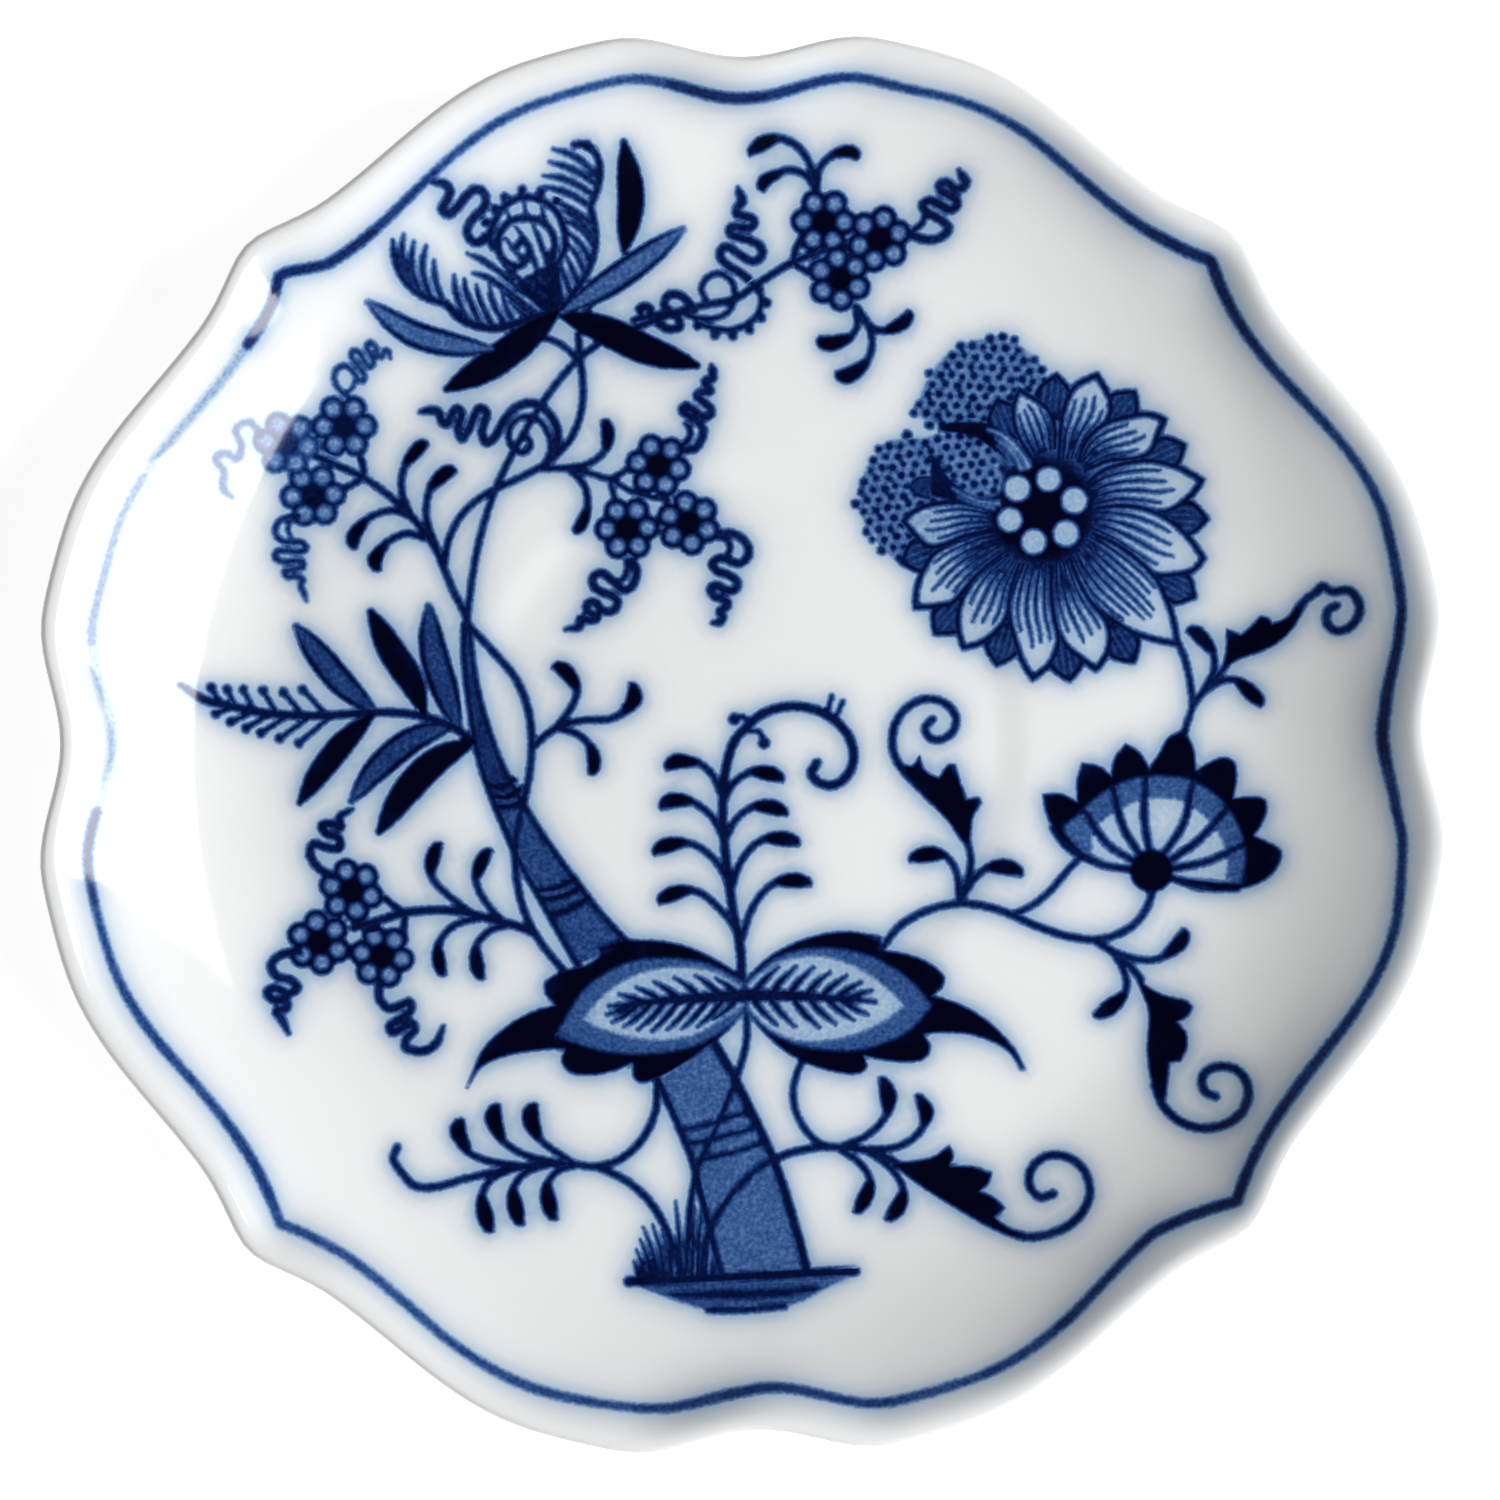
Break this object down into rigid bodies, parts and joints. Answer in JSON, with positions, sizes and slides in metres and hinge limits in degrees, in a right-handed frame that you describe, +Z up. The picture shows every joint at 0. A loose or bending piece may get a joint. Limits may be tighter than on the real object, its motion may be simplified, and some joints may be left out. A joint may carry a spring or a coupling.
{
  "type": "saucer",
  "caption": "Shallow porcelain saucer with a lobed rim, a recessed round well that seats a cup, and a foot ring to stand on.",
  "frame": {"origin": "middle of the foot ring, on the surface that the saucer stands on", "axes": "+Z up along the turning axis; +X and +Y through two neighbouring notches of the rim"},
  "size_m": [0.1504, 0.1504, 0.019],
  "materials": {
    "glazed_porcelain": "white porcelain under a clear glossy glaze"
  },
  "bodies": {
    "root": {"saucer": "glazed_porcelain"}
  },
  "joints": []
}
